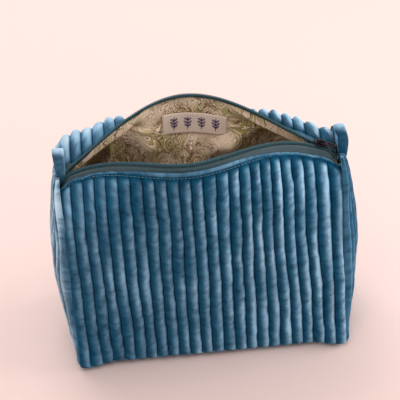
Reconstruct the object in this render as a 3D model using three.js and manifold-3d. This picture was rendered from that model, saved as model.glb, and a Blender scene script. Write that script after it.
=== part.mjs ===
// A boxy zippered pouch of quilted velvet, standing open on its base.
// Millimetres, +Z up, +X to the right along the zip, the front faces -Y. The origin is the middle
// of the base, on the surface that the pouch stands on.
import * as THREE from 'three';
import { mergeVertices } from 'three/addons/utils/BufferGeometryUtils.js';
import Module from 'manifold-3d';

// Driving dimensions.
const WIDTH = 240; // between the two end seams
const BASE_DEPTH = 100;
const TOP_DEPTH = 24; // across the closed top, from fold to fold
const ZIP_RADIUS = 235; // the closed zip runs over the top on this arc
const ZIP_CROWN = 201; // height of the closed zip at its middle
const ZIP_EXPOSED = 7; // the velvet's folded edge lies this far below the teeth
const OPENING_DEG = 15; // each wall leans out by this angle at the widest part of the mouth
const OPENING_CENTRE = -10; // where along X the mouth is widest
const OPENING_REACH = 119; // the walls bend over this length on each side of it
const WALL_BULGE = 4;
const END_BULGE = 13;
const SHOULDER_POWER = 10; // how squarely a wall turns in towards the zip where it has a shoulder
const FRONT = { lift: 7 }; // each wall's shoulder puffs up above its slope by this much
const BACK = { lift: 30 };
const SHOULDER_LEFT = 1; // share of the full shoulder that the left end has
const SHOULDER_RIGHT = 0.6;
const SHOULDER_START = 25; // distance from the mouth's middle at which the shoulders begin
const SHOULDER_RUN = 55; // and the length over which they grow

// Layers, as depths below the outer surface. Cloth is PLY apart, and hard pieces GAP apart.
const GAP = 0.3;
const PLY = 0.6;
const VELVET = [0, 4];
const WADDING = [VELVET[1] + PLY, 7];
const LINING = [WADDING[1] + PLY, 8.4];
const TAPE = [VELVET[1] + PLY, 5.4];
const LABEL = [LINING[1] + PLY, 9.7];
const FLOOR_OF_LAYERS = 9; // the inner layers of walls and ends start above those of the base

const TAPE_HIDDEN = 12; // length of tape sewn in behind the velvet
const TAPE_SHOULDER = 7; // from the zip's centre line to where the tape turns down
const COIL_RADIUS = 1.3;
const COIL_OFFSET = COIL_RADIUS + GAP; // from the zip's centre line to a coil's centre

const SLIDER_REST_DEG = 25.5; // from the top of the arc down to the right
const SLIDER_LENGTH = 10;
const SLIDER_WIDTH = 11;
const PLATE = 1.2; // thickness of the slider's top and bottom plates
const PLATE_FACE = COIL_RADIUS + 0.8; // from the zip's middle to the inner face of a plate
const CROWN_WIDTH = 2.4;
const PULL_LENGTH = 16;
const PULL_WIDTH = 6.4;
const PULL_THICKNESS = 1.2;
const PIVOT_HEIGHT = 1.1; // of the pull's bar above the top plate

const TAB_WIDTH = 10;
const TAB_LAYER = 4; // thickness of one layer of the folded strip
const TAB_HEIGHT = 38;
const TAB_LIFT = 1.6; // the tab's foot starts this far above the end panel
const TAB_PINCH = 1.3; // thickness of one layer where the seam pinches the foot

const LABEL_SIZE = [56, 20];
const LABEL_DROP = 14; // from the zip down to the label's top edge
const LABEL_TILT_DEG = -2;

const WALL_COLUMNS = 24; // every layer of a wall has the same columns, so that they nest
const HALF_WIDTH = WIDTH / 2;
const WALL_END = HALF_WIDTH - 2; // the walls stop here and the end panels start GAP further out
const FOOT_Y = BASE_DEPTH / 2;
const HEAD_Y = TOP_DEPTH / 2;
const ARC_CENTRE_Z = ZIP_CROWN - ZIP_RADIUS;

const radians = THREE.MathUtils.degToRad;
const lerp = THREE.MathUtils.lerp;

// Height of the closed zip above the base.
function zipHeight(x) {
  return ARC_CENTRE_Z + Math.sqrt(ZIP_RADIUS ** 2 - x ** 2);
}

// Height of the velvet's folded top edge.
function headHeight(x) {
  return zipHeight(x) - ZIP_EXPOSED;
}

// Share of the opening angle that a wall has at x: 1 at the mouth's middle, 0 at its ends.
function openingShare(x) {
  return THREE.MathUtils.smoothstep(1 - Math.abs(x - OPENING_CENTRE) / OPENING_REACH, 0, 1);
}

// Leans a point of the closed front wall out, about the wall's bottom edge.
function opened(x, y, z) {
  const angle = radians(OPENING_DEG) * openingShare(x);
  const fromFoot = y + FOOT_Y;
  const leaningY = fromFoot * Math.cos(angle) - z * Math.sin(angle) - FOOT_Y;
  const leaningZ = fromFoot * Math.sin(angle) + z * Math.cos(angle);
  return new THREE.Vector3(x, leaningY, leaningZ);
}

// Share of the full shoulder that a wall has at x: none around the mouth's middle.
function shoulderShare(x) {
  const most = x < OPENING_CENTRE ? SHOULDER_LEFT : SHOULDER_RIGHT;
  const reach = Math.abs(x - OPENING_CENTRE) - SHOULDER_START;
  return most * THREE.MathUtils.smoothstep(reach / SHOULDER_RUN, 0, 1);
}

// The closed front wall's outline in Y and Z at x, at a share up of its height.
function outline(wall, x, up) {
  const share = shoulderShare(x);
  const inward = lerp(up, Math.abs(up) ** SHOULDER_POWER, share);
  const lift = share * wall.lift * Math.sin(Math.PI * up ** 4);
  return [lerp(-FOOT_Y, -HEAD_Y, inward), up * headHeight(x) + lift];
}

// A point of the front wall, a depth below its outer surface. On a straight wall z is its height.
function wallPoint(wall, x, z, depth) {
  const up = z / headHeight(x);
  const [y, height] = outline(wall, x, up);
  const [yBelow, zBelow] = outline(wall, x, up - 0.001);
  const [yAbove, zAbove] = outline(wall, x, up + 0.001);
  const leaning = (yAbove - yBelow) * THREE.MathUtils.smoothstep(up, 0, 0.3);
  const rising = zAbove - zBelow;
  const bulge = WALL_BULGE * Math.sin(Math.PI * up) * (1 - (x / WALL_END) ** 2);
  const inward = (depth - bulge) / Math.hypot(leaning, rising);
  return opened(x, y + inward * rising, height - inward * leaning);
}

// A closed solid from a position array and a triangle list, with its faces pointing out.
function solid(position, index) {
  const geometry = new THREE.BufferGeometry();
  geometry.setAttribute('position', new THREE.Float32BufferAttribute(position, 3));
  const corner = (i) => new THREE.Vector3().fromArray(position, 3 * index[i]);
  let volume = 0;
  for (let i = 0; i < index.length; i += 3) {
    volume += corner(i).dot(corner(i + 1).cross(corner(i + 2)));
  }
  geometry.setIndex(volume < 0 ? index.toReversed() : index);
  geometry.computeVertexNormals();
  return geometry;
}

// A curved slab: outer(u, v) and inner(u, v) give its two faces, for u and v from 0 to 1.
function slab(columns, rows, outer, inner) {
  const position = [];
  for (const face of [outer, inner]) {
    for (let i = 0; i <= columns; i++) {
      for (let j = 0; j <= rows; j++) position.push(...face(i / columns, j / rows).toArray());
    }
  }
  const at = (side, i, j) => (side * (columns + 1) + i) * (rows + 1) + j;
  const index = [];
  const quad = (a, b, c, d) => index.push(a, b, c, a, c, d);
  for (let i = 0; i < columns; i++) {
    for (let j = 0; j < rows; j++) {
      quad(at(0, i, j), at(0, i + 1, j), at(0, i + 1, j + 1), at(0, i, j + 1));
      quad(at(1, i, j), at(1, i, j + 1), at(1, i + 1, j + 1), at(1, i + 1, j));
    }
    quad(at(0, i + 1, 0), at(0, i, 0), at(1, i, 0), at(1, i + 1, 0));
    quad(at(0, i, rows), at(0, i + 1, rows), at(1, i + 1, rows), at(1, i, rows));
  }
  for (let j = 0; j < rows; j++) {
    quad(at(0, 0, j), at(0, 0, j + 1), at(1, 0, j + 1), at(1, 0, j));
    quad(at(0, columns, j + 1), at(0, columns, j), at(1, columns, j), at(1, columns, j + 1));
  }
  return solid(position, index);
}

// A solid through closed rings that have the same number of corners, with flat ends.
function loft(rings) {
  const sides = rings[0].length;
  const last = (rings.length - 1) * sides;
  const index = [];
  for (let k = 0; k < last; k += sides) {
    for (let i = 0; i < sides; i++) {
      const next = (i + 1) % sides;
      index.push(k + i, k + next, k + sides + next, k + i, k + sides + next, k + sides + i);
    }
  }
  for (let i = 1; i < sides - 1; i++) {
    index.push(0, i + 1, i, last, last + i, last + i + 1);
  }
  return solid(rings.flat().flatMap((point) => point.toArray()), index);
}

// Rows of a layer lie closer together towards the shoulder.
function closerAtTop(v) {
  return 1 - (1 - v) ** 1.6;
}

// One layer of the front wall, between two heights that may change along X.
function wallLayer(wall, [outerDepth, innerDepth], rows, low, high) {
  const face = (depth) => (u, v) => {
    const x = lerp(-WALL_END, WALL_END, u);
    return wallPoint(wall, x, lerp(low(x), high(x), closerAtTop(v)), depth);
  };
  return slab(WALL_COLUMNS, rows, face(outerDepth), face(innerDepth));
}

function velvetWall(wall) {
  return wallLayer(wall, VELVET, 26, () => 0, headHeight);
}

function waddingWall(wall) {
  const top = (x) => headHeight(x) - TAPE_HIDDEN - 1;
  return wallLayer(wall, WADDING, 22, () => FLOOR_OF_LAYERS, top);
}

function liningWall(wall) {
  return wallLayer(wall, LINING, 22, () => FLOOR_OF_LAYERS, (x) => headHeight(x) - 2);
}

// The tape runs flat from the coil to a shoulder, down to the velvet's fold and on behind it.
function zipTape(wall) {
  const coilEdge = COIL_OFFSET + COIL_RADIUS + GAP;
  const section = (x, depth) => [
    opened(x, depth / 4 - coilEdge, zipHeight(x) - depth),
    opened(x, depth - TAPE_SHOULDER, zipHeight(x) - depth),
    ...[-GAP, 1.5, 3.5, 6, 9, TAPE_HIDDEN].map((drop) => {
      return wallPoint(wall, x, headHeight(x) - drop, TAPE[0] + depth);
    }),
  ];
  const rows = 7;
  const face = (depth) => (u, v) => {
    return section(lerp(-WALL_END, WALL_END, u), depth)[Math.round(rows * v)];
  };
  return slab(WALL_COLUMNS, rows, face(0), face(TAPE[1] - TAPE[0]));
}

// A coil as a plain round rope along the edge of its tape.
function zipCoil() {
  const rings = [];
  const sides = 6;
  for (let k = 0; k <= WALL_COLUMNS; k++) {
    const x = lerp(-WALL_END, WALL_END, k / WALL_COLUMNS);
    const centre = opened(x, -COIL_OFFSET, zipHeight(x));
    const ring = [];
    for (let i = 0; i < sides; i++) {
      const turn = (2 * Math.PI * i) / sides;
      const across = new THREE.Vector3(0, Math.cos(turn), Math.sin(turn));
      ring.push(across.multiplyScalar(COIL_RADIUS).add(centre));
    }
    rings.push(ring);
  }
  return loft(rings);
}

// One layer of an end panel, which bows outwards between its seams and rises into the shoulders.
function endLayer(side, [outerDepth, innerDepth], cells, inset, low, high, rise) {
  const height = headHeight(HALF_WIDTH);
  const face = (depth) => (u, v) => {
    const up = lerp(low, high, closerAtTop(v)) / height;
    const across = 2 * u - 1;
    const [edgeY, edgeZ] = outline(across < 0 ? FRONT : BACK, side * HALF_WIDTH, up);
    const bulge = END_BULGE * (1 - across ** 2) * Math.sin(Math.PI * up) ** 0.8;
    const x = WALL_END + GAP + VELVET[1] - depth + bulge;
    const z = up * height + rise * (edgeZ - up * height) * across ** 2;
    return new THREE.Vector3(side * x, across * (-edgeY - inset), z);
  };
  return slab(cells, 2 * cells, face(outerDepth), face(innerDepth));
}

function velvetEnd(side) {
  return endLayer(side, VELVET, 10, 0, 0, headHeight(HALF_WIDTH), 1);
}

// The inner layers of an end fit between the inner faces of the walls.
function innerEnd(side, layer) {
  const clearOfWalls = LINING[1] + 1.5;
  return endLayer(side, layer, 8, clearOfWalls, FLOOR_OF_LAYERS, headHeight(HALF_WIDTH) - 12, 0);
}

// One layer of the base: a rectangle that fits inside the walls' feet.
function baseLayer([low, high], length, depth) {
  const geometry = new THREE.BoxGeometry(length, depth, high - low);
  return geometry.translate(0, 0, (low + high) / 2);
}

// A woven label on the lining, just below the zip and a little askew.
function label() {
  const tilt = radians(LABEL_TILT_DEG);
  const [length, height] = LABEL_SIZE;
  const middleZ = zipHeight(0) - LABEL_DROP - height / 2;
  const face = (depth) => (u, v) => {
    const along = (u - 0.5) * length;
    const up = (v - 0.5) * height;
    const x = along * Math.cos(tilt) - up * Math.sin(tilt);
    const z = middleZ + along * Math.sin(tilt) + up * Math.cos(tilt);
    return wallPoint(BACK, x, z, depth);
  };
  return slab(4, 2, face(LABEL[0]), face(LABEL[1]));
}

// A folded strip that stands up from the end seam: two layers, joined by the fold at the top.
function grabTab() {
  const slit = 0.6; // half the gap between the two layers
  const reach = slit + TAB_LAYER;
  const foot = headHeight(HALF_WIDTH) + TAB_LIFT;
  const foldZ = foot + TAB_HEIGHT - reach;
  const footWidth = 0.7 * TAB_WIDTH;
  const rings = [];
  const addRing = (y, z, inY, inZ, width) => {
    const half = width / 2;
    rings.push([
      new THREE.Vector3(-half, y, z),
      new THREE.Vector3(half, y, z),
      new THREE.Vector3(half, inY, inZ),
      new THREE.Vector3(-half, inY, inZ),
    ]);
  };
  addRing(-slit - TAB_PINCH, foot, -slit, foot, footWidth);
  addRing(-reach, foot + 10, -slit, foot + 10, TAB_WIDTH);
  const steps = 6;
  for (let i = 0; i <= steps; i++) {
    const turn = (Math.PI * i) / steps;
    const y = -Math.cos(turn);
    const z = Math.sin(turn);
    addRing(reach * y, foldZ + reach * z, slit * y, foldZ + slit * z, TAB_WIDTH);
  }
  addRing(reach, foot + 10, slit, foot + 10, TAB_WIDTH);
  addRing(slit + TAB_PINCH, foot, slit, foot, footWidth);
  return loft(rings);
}

// The slider is drawn with its zip running along X and its two coils entering at -X.
const wasm = await Module();
wasm.setup();

function asManifold(geometry) {
  const bare = geometry.clone();
  bare.deleteAttribute('normal');
  bare.deleteAttribute('uv');
  const merged = mergeVertices(bare);
  const vertProperties = merged.attributes.position.array;
  const triVerts = Uint32Array.from(merged.index.array);
  return new wasm.Manifold(new wasm.Mesh({ numProp: 3, vertProperties, triVerts }));
}

function asGeometry(manifold) {
  const { vertProperties, triVerts } = manifold.getMesh();
  return solid(Array.from(vertProperties), Array.from(triVerts));
}

function extruded(shape, depth) {
  return new THREE.ExtrudeGeometry(shape, { depth, bevelEnabled: false, curveSegments: 6 });
}

function plateShape() {
  const front = -SLIDER_LENGTH / 2;
  const back = SLIDER_LENGTH / 2;
  const wide = SLIDER_WIDTH / 2;
  const narrow = 0.72 * wide;
  const shape = new THREE.Shape();
  shape.moveTo(front, 0);
  shape.quadraticCurveTo(front, wide, front + 0.3 * SLIDER_LENGTH, wide);
  shape.quadraticCurveTo(0, wide, 0.2 * SLIDER_LENGTH, narrow);
  shape.lineTo(back, narrow);
  shape.lineTo(back, -narrow);
  shape.lineTo(0.2 * SLIDER_LENGTH, -narrow);
  shape.quadraticCurveTo(0, -wide, front + 0.3 * SLIDER_LENGTH, -wide);
  shape.quadraticCurveTo(front, -wide, front, 0);
  return shape;
}

// The wedge that parts the coils and joins the two plates.
function wedgeShape() {
  const front = -SLIDER_LENGTH / 2 + 0.5;
  const shape = new THREE.Shape();
  shape.moveTo(front, -0.9);
  shape.lineTo(front + 3, -0.35);
  shape.lineTo(front + 3, 0.35);
  shape.lineTo(front, 0.9);
  return shape;
}

// The arch on the top plate that the pull hangs on, drawn in X and Z and extruded along Y.
function crownGeometry() {
  const arch = new THREE.Shape();
  arch.moveTo(-3.4, -0.2);
  arch.lineTo(-2.9, 2.4);
  arch.quadraticCurveTo(-2.6, 3.4, -1.4, 3.4);
  arch.lineTo(1.4, 3.4);
  arch.quadraticCurveTo(2.6, 3.4, 2.9, 2.4);
  arch.lineTo(3.4, -0.2);
  const eye = new THREE.Path();
  eye.moveTo(-1.6, 0);
  eye.lineTo(1.6, 0);
  eye.lineTo(1.6, 2.2);
  eye.lineTo(-1.6, 2.2);
  arch.holes.push(eye);
  const geometry = extruded(arch, CROWN_WIDTH);
  return geometry.rotateX(Math.PI / 2).translate(0, CROWN_WIDTH / 2, PLATE_FACE + PLATE);
}

function sliderBody() {
  const top = extruded(plateShape(), PLATE).translate(0, 0, PLATE_FACE);
  const bottom = extruded(plateShape(), PLATE).translate(0, 0, -PLATE_FACE - PLATE);
  const wedge = extruded(wedgeShape(), 2 * PLATE_FACE + PLATE);
  wedge.translate(0, 0, -PLATE_FACE - PLATE / 2);
  let body = asManifold(top);
  for (const piece of [bottom, wedge, crownGeometry()]) body = body.add(asManifold(piece));
  return asGeometry(body);
}

// The pull: a rounded plate with an eye round the crown and a slot near its free end.
function pullTab() {
  const half = PULL_WIDTH / 2;
  const bar = 0.7;
  const shape = new THREE.Shape();
  shape.moveTo(-bar, -half + 0.4);
  shape.lineTo(PULL_LENGTH - half, -half);
  shape.absarc(PULL_LENGTH - half, 0, half, -Math.PI / 2, Math.PI / 2);
  shape.lineTo(-bar, half - 0.4);
  const eye = new THREE.Path();
  eye.moveTo(bar, -1.6);
  eye.lineTo(bar, 1.6);
  eye.lineTo(4.2, 1.6);
  eye.lineTo(4.2, -1.6);
  const slot = new THREE.Path();
  slot.absarc(PULL_LENGTH - half - 0.6, 0, 1.4, -Math.PI / 2, Math.PI / 2);
  slot.absarc(7.6, 0, 1, Math.PI / 2, (3 * Math.PI) / 2);
  shape.holes.push(eye, slot);
  return extruded(shape, PULL_THICKNESS).translate(0, 0, -PULL_THICKNESS / 2);
}

// Materials.
function finish(color, roughness, metalness = 0) {
  return () => new THREE.MeshStandardMaterial({ color, roughness, metalness });
}
const velvet = finish(0x3f7a99, 0.95);
const wadding = finish(0xf1efe8, 1);
const liningCloth = finish(0xa89c62, 0.85);
const tapeCloth = finish(0x3c6f78, 0.9);
const coilNylon = finish(0x1f4f60, 0.5);
const gunmetal = finish(0x33333a, 0.35, 1);
const labelCloth = finish(0xcdb0a2, 0.8);

const pouch = new THREE.Group();

function add(name, geometry, material, parent = pouch) {
  const mesh = new THREE.Mesh(geometry, material());
  mesh.name = name;
  parent.add(mesh);
  return mesh;
}

function mirrored(geometry, axis) {
  const scale = new THREE.Vector3(1, 1, 1).setComponent(axis, -1);
  const position = geometry.attributes.position.clone();
  for (let i = 0; i < position.count; i++) {
    const point = new THREE.Vector3().fromBufferAttribute(position, i).multiply(scale);
    position.setXYZ(i, ...point.toArray());
  }
  return solid(Array.from(position.array), Array.from(geometry.index.array));
}

// Walls: the back is the front mirrored, and it carries the label.
for (const [name, shape, material] of [
  ['panel', velvetWall, velvet],
  ['wadding', waddingWall, wadding],
  ['lining', liningWall, liningCloth],
  ['zip_tape', zipTape, tapeCloth],
  ['zip_coil', zipCoil, coilNylon],
]) {
  add(`front_${name}`, shape(FRONT), material);
  add(`back_${name}`, mirrored(shape(BACK), 1), material);
}
add('label', mirrored(label(), 1), labelCloth);

// Ends.
for (const [name, shape, material] of [
  ['gusset', velvetEnd, velvet],
  ['gusset_wadding', (side) => innerEnd(side, WADDING), wadding],
  ['gusset_lining', (side) => innerEnd(side, LINING), liningCloth],
]) {
  add(`right_${name}`, shape(1), material);
  add(`left_${name}`, shape(-1), material);
}

// Base.
const baseLength = 2 * WALL_END - 1;
const baseDepth = BASE_DEPTH - 2 * VELVET[1] - 3.2;
add('base_panel', baseLayer(VELVET, baseLength, baseDepth), velvet);
add('base_wadding', baseLayer(WADDING, baseLength - 2, baseDepth - 2), wadding);
add('base_lining', baseLayer(LINING, baseLength - 4, baseDepth - 3), liningCloth);

// Grab tabs.
const tabX = WALL_END + TAB_WIDTH / 2 + 1.5;
add('left_tab', grabTab(), velvet).position.x = -tabX;
add('right_tab', grabTab(), velvet).position.x = tabX;

// Slider and pull, turned down the arc of the zip from its top to where they rest.
const carriage = new THREE.Group();
carriage.position.z = ARC_CENTRE_Z;
carriage.rotation.y = radians(SLIDER_REST_DEG);
pouch.add(carriage);
add('slider', sliderBody(), gunmetal, carriage).position.z = ZIP_RADIUS;
const pull = add('pull', pullTab(), gunmetal, carriage);
pull.position.z = ZIP_RADIUS + PLATE_FACE + PLATE + PIVOT_HEIGHT;

export default pouch;
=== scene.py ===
"""A boxy zippered pouch of quilted velvet, standing open on a pale floor.

Metres. +X runs to the right along the zip, the front faces -Y and Z is up. Every wall piece is drawn
for the front, and the back is its mirror image. Wall pieces come in two halves that meet where the
mouth is widest.
"""
import math

import bmesh
import bpy
import numpy as np
from mathutils import Matrix, Vector


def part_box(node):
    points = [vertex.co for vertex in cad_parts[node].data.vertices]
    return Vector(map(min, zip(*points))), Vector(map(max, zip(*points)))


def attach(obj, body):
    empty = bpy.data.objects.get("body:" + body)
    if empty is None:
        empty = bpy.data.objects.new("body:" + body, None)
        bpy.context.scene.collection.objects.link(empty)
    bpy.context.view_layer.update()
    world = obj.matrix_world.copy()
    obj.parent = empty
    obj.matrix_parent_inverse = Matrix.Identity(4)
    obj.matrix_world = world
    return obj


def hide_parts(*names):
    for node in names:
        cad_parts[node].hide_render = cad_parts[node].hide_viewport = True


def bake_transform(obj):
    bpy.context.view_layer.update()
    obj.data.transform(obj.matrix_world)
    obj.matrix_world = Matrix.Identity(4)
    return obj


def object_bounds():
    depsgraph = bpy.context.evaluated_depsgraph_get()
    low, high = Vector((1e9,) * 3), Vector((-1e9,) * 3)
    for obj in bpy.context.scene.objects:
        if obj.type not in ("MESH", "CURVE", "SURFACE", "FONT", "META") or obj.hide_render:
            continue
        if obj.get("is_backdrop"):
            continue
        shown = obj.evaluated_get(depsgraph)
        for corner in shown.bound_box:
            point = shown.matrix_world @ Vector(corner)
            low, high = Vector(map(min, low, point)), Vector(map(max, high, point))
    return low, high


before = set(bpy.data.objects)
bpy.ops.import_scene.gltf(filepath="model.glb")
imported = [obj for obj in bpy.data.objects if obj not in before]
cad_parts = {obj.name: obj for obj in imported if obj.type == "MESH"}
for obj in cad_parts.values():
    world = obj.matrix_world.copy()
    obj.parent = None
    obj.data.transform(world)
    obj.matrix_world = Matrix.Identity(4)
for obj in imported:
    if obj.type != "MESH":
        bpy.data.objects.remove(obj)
CAD_BOX = [list(corner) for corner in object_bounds()]
MM = 0.001

# ---- the design, as in the CAD model
WALL_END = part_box("front_panel")[1].x  # the walls stop here, at the end seams
HEAD_AT_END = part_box("left_gusset")[1].z  # height of the walls' folded edge at the ends
END_OUT = 122.3 * MM  # the end panels' outer face at their edges
FOOT_Y = 50 * MM
HEAD_Y = 12 * MM
ZIP_RADIUS = 235 * MM
ZIP_CROWN = 201 * MM
ZIP_EXPOSED = 7 * MM
OPENING = math.radians(15)
OPENING_CENTRE = -10 * MM
OPENING_REACH = 119 * MM
WALL_BULGE = 4 * MM
END_BULGE = 13 * MM
SHOULDER_POWER = 10
SHOULDER_LIFT = {"front": 7 * MM, "back": 30 * MM}
SHOULDER_LEFT, SHOULDER_RIGHT = 1.0, 0.6
SHOULDER_START, SHOULDER_RUN = 25 * MM, 55 * MM

# ---- the sewing
RIBS = 24  # quilted channels across a wall
SPLIT_RIB = 11  # the two halves of a wall meet in this groove
RIB_PITCH = 2 * WALL_END / RIBS
SPLIT_X = -WALL_END + SPLIT_RIB * RIB_PITCH
GROOVE = 4.3 * MM  # from a channel's crest down to its stitching
CREST = -1.2 * MM  # the crests stand out from the plain outline by this much
PANEL_DEPTH = 4.2 * MM  # from the crests to the back of a velvet panel
FOOT_SAG = 3.5 * MM  # the padding sags outwards above the foot
CORNER_SAG = 6 * MM  # and this much more at the bottom corners
FOOT_ROLL = 7 * MM  # radius on which the velvet rolls under at the foot
FOLD_REACH = 5.4 * MM  # the folded edge reaches this far over the tape, towards the coil
FOLD_RISE = 4.5 * MM  # a full shoulder's folded edge is lifted by this, level with the tape
END_SINK = 7.5 * MM  # the zip dives by this into the end seams
TOPSTITCH_DROP = 4.6 * MM  # from the folded edge down to its row of stitches
TOP_BAND = 9 * MM  # above this the velvet's rows keep their distance from the folded edge
LIP_DROP = 1.6 * MM  # here the velvet starts to turn in
OVERRUN = 0.9 * MM  # the velvet runs on past the end seams
END_RIBS = 10  # quilted channels across an end panel
LAYER_FOOT = 9 * MM  # the wadding and the lining start this high
LINING_DEPTH = 8.0 * MM
LABEL_SIZE = (56 * MM, 20 * MM)
LABEL_DROP = 14 * MM
LABEL_TILT = math.radians(-2)
LABEL_OVER = 2.9 * MM  # from the plain depth of the lining in to the label
COIL_PITCH = 1.55 * MM
COIL_MIDDLE = -1.95 * MM  # the coil's centre line, from the middle of the closed zip
END_LINING_MARGIN = 8.4 * MM  # from an end panel's edge to the edge of its lining


# ---- shape of the walls
def zip_height(x):
    return ZIP_CROWN - ZIP_RADIUS + np.sqrt(ZIP_RADIUS**2 - x**2)


def head_height(x):
    return zip_height(x) - ZIP_EXPOSED


def smooth(t):
    t = np.clip(t, 0, 1)
    return t * t * (3 - 2 * t)


def opened(x, y, z):
    """Leans points of the closed front wall out about its bottom edge, as far as the mouth is open."""
    angle = OPENING * smooth(1 - np.abs(x - OPENING_CENTRE) / OPENING_REACH)
    from_foot = y + FOOT_Y
    out = from_foot * np.cos(angle) - z * np.sin(angle) - FOOT_Y
    return np.stack([x + 0 * y, out, from_foot * np.sin(angle) + z * np.cos(angle)], axis=-1)


def shoulder_share(x):
    most = np.where(x < OPENING_CENTRE, SHOULDER_LEFT, SHOULDER_RIGHT)
    return most * smooth((np.abs(x - OPENING_CENTRE) - SHOULDER_START) / SHOULDER_RUN)


def shoulder_puff(x):
    """How much fuller than the plain outline the back's shoulders stand."""
    out = np.abs(x - OPENING_CENTRE) / MM
    left = 8 * np.exp(-(((out - 53) / 19) ** 2)) + 12 * smooth((out - 74) / 28)
    return np.where(x < OPENING_CENTRE, left, 14 * smooth((out - 40) / 75)) * MM


def outline(wall, x, up):
    """The closed front wall's outline in Y and Z at x, at a share up of its height."""
    share = shoulder_share(x)
    inward = up + (np.abs(up) ** SHOULDER_POWER - up) * share
    lift = share * SHOULDER_LIFT[wall] * np.sin(np.pi * up**4)
    if wall == "back":
        lift = lift + shoulder_puff(x) * np.sin(np.pi * np.clip(up, 0, 1) ** 7)
    return -FOOT_Y + (FOOT_Y - HEAD_Y) * inward, up * head_height(x) + lift


def corner_share(x):
    """From 0 along a wall to 1 next to its end."""
    return smooth((np.abs(x) - WALL_END + 32 * MM) / (26 * MM))


def corner_sag(z):
    return CORNER_SAG * np.exp(-(((z - 4 * MM) / (17 * MM)) ** 2))


def wall_point(wall, x, z, depth):
    """A point of the front wall, depth below its outline. On a straight wall z is its height."""
    up = z / head_height(x)
    y, height = outline(wall, x, up)
    y_below, z_below = outline(wall, x, up - 0.001)
    y_above, z_above = outline(wall, x, up + 0.001)
    leaning, rising = (y_above - y_below) * smooth(up / 0.3), z_above - z_below
    bulge = WALL_BULGE * np.sin(np.pi * np.clip(up, 0, 1)) * (1 - (x / WALL_END) ** 2)
    bulge = bulge + FOOT_SAG * np.exp(-(((z - 16 * MM) / (17 * MM)) ** 2)) * smooth(z / (5 * MM))
    bulge = bulge + corner_sag(z) * corner_share(x)
    inward = (depth - bulge) / np.hypot(leaning, rising)
    rise = FOLD_RISE * shoulder_share(x) * smooth((up - 0.93) / 0.07)
    return opened(x, y + inward * rising, height - inward * leaning + rise)


def zip_sink(x):
    return END_SINK * smooth((np.abs(x) - WALL_END + 10 * MM) / (10 * MM))


def below_head(wall, x, drop):
    """The z that wall_point takes for a distance along the cloth below its folded edge."""
    y_below, z_below = outline(wall, x, 0.999)
    y_above, z_above = outline(wall, x, 1.001)
    stretch = np.hypot(y_above - y_below, z_above - z_below) / (0.002 * head_height(x))
    return head_height(x) - drop / stretch


# ---- noise, the same on every run
def noise(u, v, seed):
    """Smooth noise from -1 to 1 with features one unit across."""
    table = np.random.default_rng(seed).uniform(-1, 1, (64, 64))
    u, v = np.asarray(u, float) + 1000, np.asarray(v, float) + 1000
    i, j = np.floor(u).astype(int), np.floor(v).astype(int)
    s, t = smooth(u - i), smooth(v - j)
    corner = lambda a, b: table[(i + a) % 64, (j + b) % 64]
    low = corner(0, 0) * (1 - s) + corner(1, 0) * s
    high = corner(0, 1) * (1 - s) + corner(1, 1) * s
    return low * (1 - t) + high * t


# ---- meshes
def slab(outer, inner):
    """Vertices and faces of a closed slab between two grids of points with the same shape."""
    n, m = outer.shape[:2]
    vertices = np.concatenate([outer.reshape(-1, 3), inner.reshape(-1, 3)])
    at = np.arange(2 * n * m).reshape(2, n, m)
    quads = []

    def add(a, b, c, d):
        quads.append(np.stack([a, b, c, d], axis=-1).reshape(-1, 4))

    o, q = at
    add(o[:-1, :-1], o[1:, :-1], o[1:, 1:], o[:-1, 1:])
    add(q[:-1, :-1], q[:-1, 1:], q[1:, 1:], q[1:, :-1])
    add(o[1:, 0], o[:-1, 0], q[:-1, 0], q[1:, 0])
    add(o[:-1, -1], o[1:, -1], q[1:, -1], q[:-1, -1])
    add(o[0, :-1], o[0, 1:], q[0, 1:], q[0, :-1])
    add(o[-1, 1:], o[-1, :-1], q[-1, :-1], q[-1, 1:])
    return vertices, np.concatenate(quads)


def unit(vectors):
    return vectors / np.linalg.norm(vectors, axis=-1, keepdims=True)


def section_axes(path, reference):
    """The two axes of a thread's section along its path; the first is square to the reference too."""
    run = unit(np.gradient(path, axis=0))
    across = unit(np.cross(run, reference))
    return across, np.cross(run, across)


def ring_faces(rings, sides):
    """Faces of a closed skin over rings of points."""
    at = np.arange(rings * sides).reshape(rings, sides)
    nxt = np.roll(at, -1, axis=1)
    quads = np.stack([at[:-1], nxt[:-1], nxt[1:], at[1:]], axis=-1).reshape(-1, 4)
    return [list(q) for q in quads] + [list(at[0][::-1]), list(at[-1])]


def tube(path, across, up, radius, sides):
    """Vertices and faces of a closed tube of small round section along a path."""
    turn = np.arange(sides) * 2 * np.pi / sides
    ring = np.cos(turn)[None, :, None] * across[:, None] + np.sin(turn)[None, :, None] * up[:, None]
    points = path[:, None] + radius * ring
    return points.reshape(-1, 3), ring_faces(len(path), sides)


def joined(parts):
    """Vertices and faces of several meshes as one."""
    vertices, faces = [], []
    for points, own in parts:
        faces += [[len(vertices) + int(i) for i in face] for face in own]
        vertices += list(points)
    return vertices, faces


def add_object(name, data):
    piece = bpy.data.objects.new(name, data)
    bpy.context.scene.collection.objects.link(piece)
    return piece


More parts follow.
